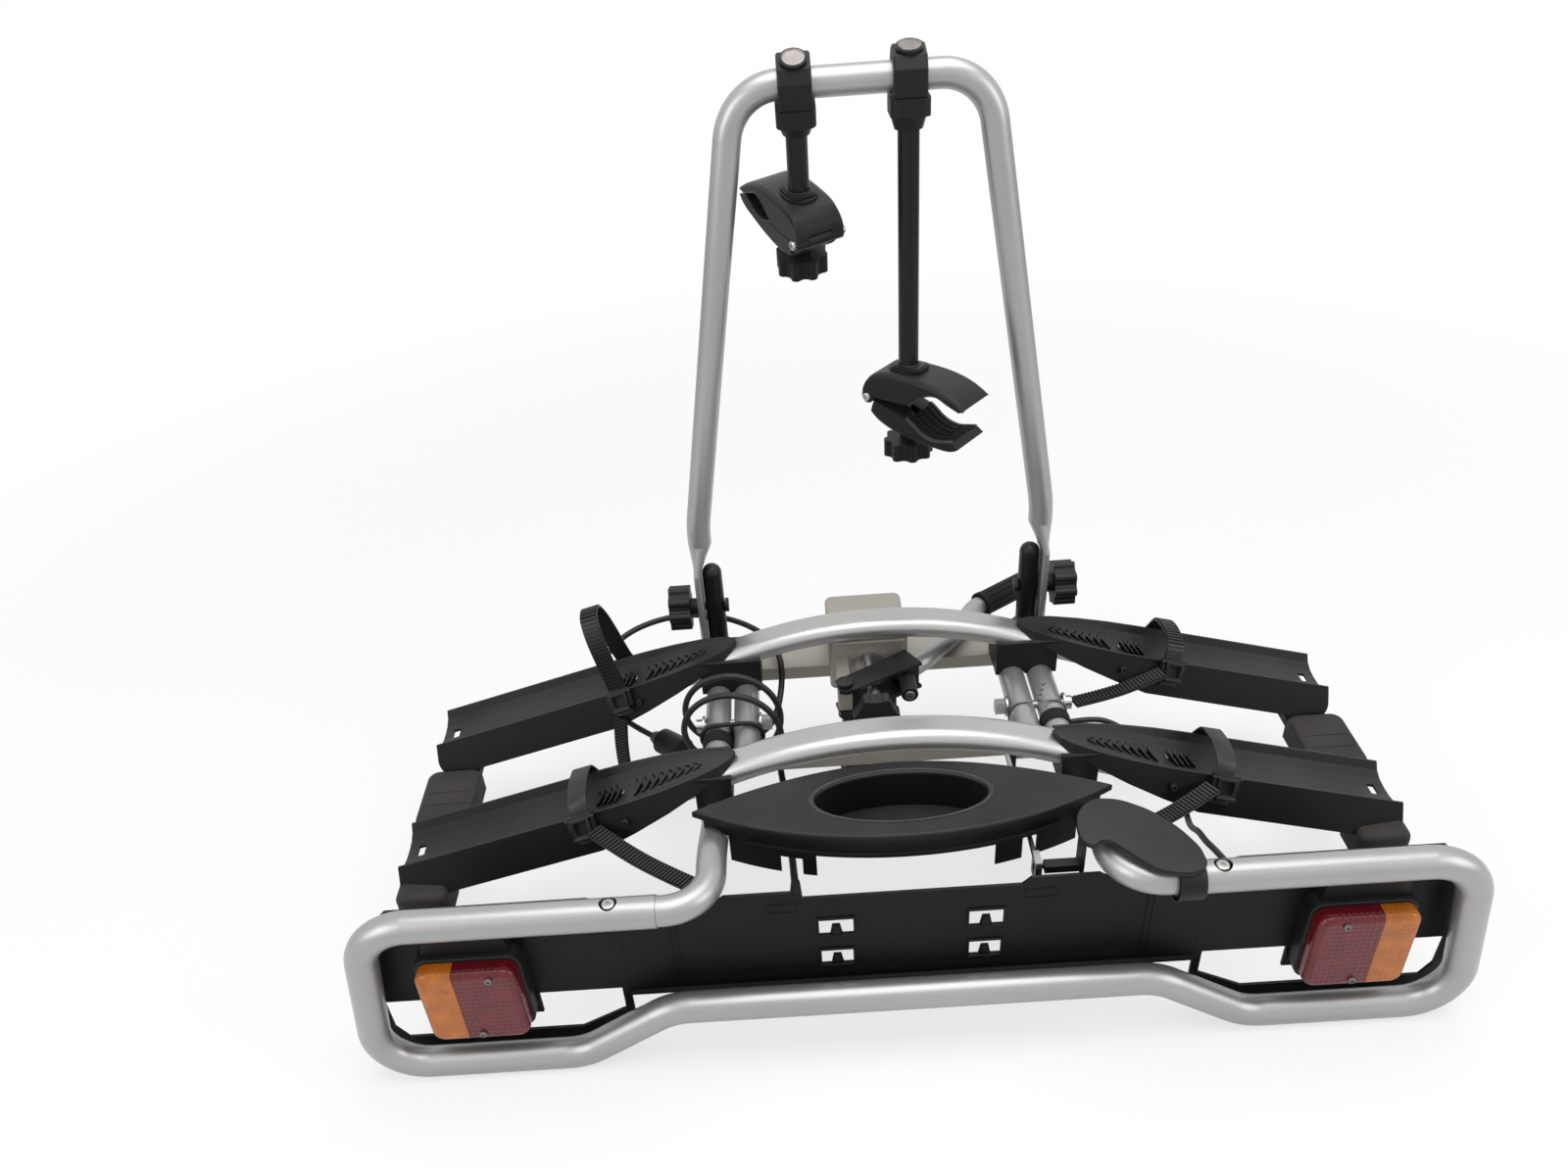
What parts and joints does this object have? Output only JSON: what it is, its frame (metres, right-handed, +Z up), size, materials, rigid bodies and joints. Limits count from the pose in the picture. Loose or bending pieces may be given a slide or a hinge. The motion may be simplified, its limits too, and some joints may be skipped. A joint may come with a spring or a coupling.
{
  "type": "towball bicycle carrier",
  "caption": "Towball bicycle rack with wheel trays, lamp bar, folding upright, clamping arms, tilting platform and lever coupling.",
  "frame": {"origin": "centre of the towball that the coupling closes on", "axes": "+X to the right seen from behind the car, +Y towards the car, +Z up"},
  "size_m": [1.0556, 0.5696, 0.7972],
  "materials": {
    "silver_paint": "fine silver paint, satin",
    "rail_alu": "silver anodised, satin",
    "beam_alu": "bare extruded aluminium, brushed",
    "cast_black": "black coated casting, satin",
    "black_steel": "black powder coat, satin",
    "zinc": "bright zinc plated",
    "black_plastic": "moulded, fine grain",
    "black_rubber": "matt",
    "black_alu": "black anodised",
    "link_grey": "grey brown moulding, matt",
    "board_black": "sheet plastic, satin",
    "red_lens": "ribbed, glossy",
    "amber_lens": "ribbed, glossy",
    "cable": "smooth sheath"
  },
  "bodies": {
    "coupling_frame": {"coupling_housing": "beam_alu", "cross_beams": "beam_alu", "fixed_arms": "silver_paint", "fixed_jaw": "cast_black", "tilt_bolts": "zinc", "rod_washer": "zinc", "lever_pin": "black_steel"},
    "clamp_slide": {"moving_jaw": "cast_black", "clamp_rod": "zinc"},
    "adjuster": {"adjuster_knob": "black_plastic"},
    "lever": {"lever_clevis": "black_steel", "lever_tube": "silver_paint", "lever_grip": "black_rubber", "lever_lock": "black_steel"},
    "platform": {"side_tubes": "silver_paint", "tube_collars": "black_rubber", "light_bar_tube": "silver_paint", "front_rail": "rail_alu", "rear_rail": "rail_alu", "rail_saddles": "black_plastic", "tray_front_left": "black_plastic", "tray_front_right": "black_plastic", "tray_rear_left": "black_plastic", "tray_rear_right": "black_plastic", "tray_links": "link_grey", "plate_panel": "board_black", "lamp_wings": "board_black", "lamp_housings": "black_plastic", "lens_red": "red_lens", "lens_amber": "amber_lens", "centre_cover": "black_plastic", "cover_tub": "black_plastic", "lyre_posts": "black_steel", "hook_pin": "zinc", "wheel_straps": "black_rubber", "strap_buckles": "black_plastic", "trailer_lead": "cable", "lead_plug": "black_plastic"},
    "pedal": {"tilt_pedal": "black_plastic"},
    "latch_link": {"latch_rod": "zinc"},
    "hook": {"latch_hook": "black_steel"},
    "lyre": {"lyre_frame": "silver_paint"},
    "knob_left": {"lyre_knob_left": "black_plastic"},
    "knob_right": {"lyre_knob_right": "black_plastic"},
    "short_arm": {"short_arm_head": "black_plastic", "short_arm_tube": "black_alu"},
    "short_claw_body": {"short_claw": "black_plastic"},
    "short_jaw": {"short_claw_jaw": "black_plastic"},
    "short_knob": {"short_claw_knob": "black_plastic"},
    "long_arm": {"long_arm_head": "black_plastic", "long_arm_tube": "black_alu"},
    "long_claw_body": {"long_claw": "black_plastic"},
    "long_jaw": {"long_claw_jaw": "black_plastic"},
    "long_knob": {"long_claw_knob": "black_plastic"},
    "buckle_fl": {"buckle_front_left": "black_plastic"},
    "buckle_fr": {"buckle_front_right": "black_plastic"},
    "buckle_rl": {"buckle_rear_left": "black_plastic"},
    "buckle_rr": {"buckle_rear_right": "black_plastic"}
  },
  "joints": [
    {"name": "platform_tilt", "type": "hinge", "parent": "coupling_frame", "child": "platform", "pos_m": [0.009, -0.123, 0.124], "axis": [1, 0, 0], "range_deg": [0, 35]},
    {"name": "lyre_fold", "type": "hinge", "parent": "platform", "child": "lyre", "pos_m": [0.009, 0.022, 0.185], "axis": [1, 0, 0], "range_deg": [0, 68]},
    {"name": "lyre_knob_left_turn", "type": "hinge", "parent": "platform", "child": "knob_left", "pos_m": [-0.201, 0.022, 0.185], "axis": [1, 0, 0], "continuous": true},
    {"name": "lyre_knob_right_turn", "type": "hinge", "parent": "platform", "child": "knob_right", "pos_m": [0.219, 0.022, 0.185], "axis": [1, 0, 0], "continuous": true},
    {"name": "short_arm_swing", "type": "hinge", "parent": "lyre", "child": "short_arm", "pos_m": [-0.049, 0.022, 0.721], "axis": [1, 0, 0], "range_deg": [-13, 72]},
    {"name": "long_arm_swing", "type": "hinge", "parent": "lyre", "child": "long_arm", "pos_m": [0.052, 0.022, 0.721], "axis": [1, 0, 0], "range_deg": [0, 85]},
    {"name": "short_claw_swivel", "type": "hinge", "parent": "short_arm", "child": "short_claw_body", "pos_m": [-0.049, 0.04438, 0.62405], "axis": [0, -0.225, 0.9744], "range_deg": [-116, 0]},
    {"name": "long_claw_swivel", "type": "hinge", "parent": "long_arm", "child": "long_claw_body", "pos_m": [0.052, 0.022, 0.455], "axis": [0, 0, 1], "range_deg": [-50, 129]},
    {"name": "short_knob_travel", "type": "slide", "parent": "short_claw_body", "child": "short_knob", "axis": [0, 0.225, -0.9744], "range_m": [0, 0.0165]},
    {"name": "short_jaw_open", "type": "hinge", "parent": "short_claw_body", "child": "short_jaw", "pos_m": [-0.03427, 0.02171, 0.58803], "axis": [-0.8988, -0.4271, -0.0986], "range_deg": [0, 18.1]},
    {"name": "long_knob_travel", "type": "slide", "parent": "long_claw_body", "child": "long_knob", "axis": [0, 0, -1], "range_m": [-0.0165, 0]},
    {"name": "long_jaw_open", "type": "hinge", "parent": "long_claw_body", "child": "long_jaw", "pos_m": [0.02607, 0.04337, 0.425], "axis": [0.6361, 0.7716, 0], "range_deg": [-18.1, 0]},
    {"name": "coupling_lever", "type": "hinge", "parent": "coupling_frame", "child": "lever", "pos_m": [-0.031, -0.11, 0.14], "axis": [0, 0, -1], "range_deg": [0, 5]},
    {"name": "jaw_slide", "type": "slide", "parent": "coupling_frame", "child": "clamp_slide", "axis": [0, 1, 0], "range_m": [0, 0.0062]},
    {"name": "adjuster_turn", "type": "hinge", "parent": "clamp_slide", "child": "adjuster", "pos_m": [0, -0.14, 0.14], "axis": [0, 1, 0], "continuous": true},
    {"name": "pedal_press", "type": "hinge", "parent": "platform", "child": "pedal", "pos_m": [0.243, -0.419, 0.154], "axis": [-1, 0, 0], "range_deg": [0, 10], "stiffness_Nm_per_rad": 1.5, "springref_deg": -28.65},
    {"name": "latch_pull", "type": "slide", "parent": "platform", "child": "latch_link", "axis": [0, -1, 0], "range_m": [0, 0.0032]},
    {"name": "hook_turn", "type": "hinge", "parent": "platform", "child": "hook", "pos_m": [0.133, -0.208, 0.125], "axis": [1, 0, 0], "range_deg": [0, 12]},
    {"name": "buckle_fl_lift", "type": "hinge", "parent": "platform", "child": "buckle_fl", "pos_m": [-0.29733, -0.29456, 0.12565], "axis": [0.965, 0, 0.2622], "range_deg": [0, 50]},
    {"name": "buckle_fr_lift", "type": "hinge", "parent": "platform", "child": "buckle_fr", "pos_m": [0.32333, -0.29456, 0.12348], "axis": [0.965, 0, -0.2622], "range_deg": [0, 50]},
    {"name": "buckle_rl_lift", "type": "hinge", "parent": "platform", "child": "buckle_rl", "pos_m": [-0.27533, -0.10056, 0.13163], "axis": [0.965, 0, 0.2622], "range_deg": [0, 50]},
    {"name": "buckle_rr_lift", "type": "hinge", "parent": "platform", "child": "buckle_rr", "pos_m": [0.32733, -0.10056, 0.12239], "axis": [0.965, 0, -0.2622], "range_deg": [0, 50]}
  ],
  "couplings": [
    {"joint": "jaw_slide", "follows": "coupling_lever", "m_per_rad": 0.0688},
    {"joint": "latch_pull", "follows": "pedal_press", "m_per_rad": 0.0175},
    {"joint": "hook_turn", "follows": "pedal_press", "ratio": 1.17},
    {"joint": "short_jaw_open", "follows": "short_knob_travel", "rad_per_m": 19.04},
    {"joint": "long_jaw_open", "follows": "long_knob_travel", "rad_per_m": 19.04}
  ]
}
